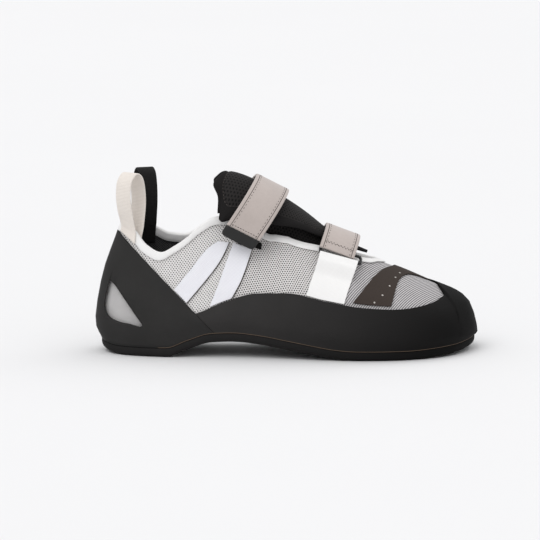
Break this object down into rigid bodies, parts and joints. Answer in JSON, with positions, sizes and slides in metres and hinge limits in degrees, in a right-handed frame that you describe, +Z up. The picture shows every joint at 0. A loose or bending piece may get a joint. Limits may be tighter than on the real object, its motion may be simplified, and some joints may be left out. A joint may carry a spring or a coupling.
{
  "type": "climbing shoe",
  "caption": "Low right climbing shoe with two hook-and-loop straps, padded tongue, rubber rand and heel band, and two heel pull loops.",
  "frame": {"origin": "on the floor, at the centre of the heel's resting spot", "axes": "+X from heel to toe, +Y to the medial side, +Z up"},
  "size_m": [0.2628, 0.096, 0.1246],
  "materials": {
    "rubber": "matte",
    "insole_grey": "matte",
    "mesh_grey": "woven mesh",
    "webbing_white": "woven",
    "webbing_lavender": "woven",
    "toe_overlay": "matte film",
    "plastic_black": "satin",
    "mesh_black": "spacer mesh",
    "suede_grey": "suede",
    "webbing_beige": "woven"
  },
  "bodies": {
    "root": {"outsole": "rubber", "rand": "rubber", "heel_band": "rubber", "insole": "insole_grey", "upper": "mesh_grey", "collar_binding": "webbing_white", "anchor_webbing": "webbing_white", "stripe_rear": "webbing_lavender", "stripe_front": "webbing_lavender", "toe_overlay": "toe_overlay", "hook_patch": "plastic_black", "strap_tab": "plastic_black", "slot_ring": "plastic_black", "tongue": "mesh_black", "tongue_gusset": "mesh_black", "top_strap": "suede_grey", "lower_strap": "suede_grey", "pull_loop_lateral": "webbing_beige", "pull_loop_medial": "mesh_black"}
  },
  "joints": []
}
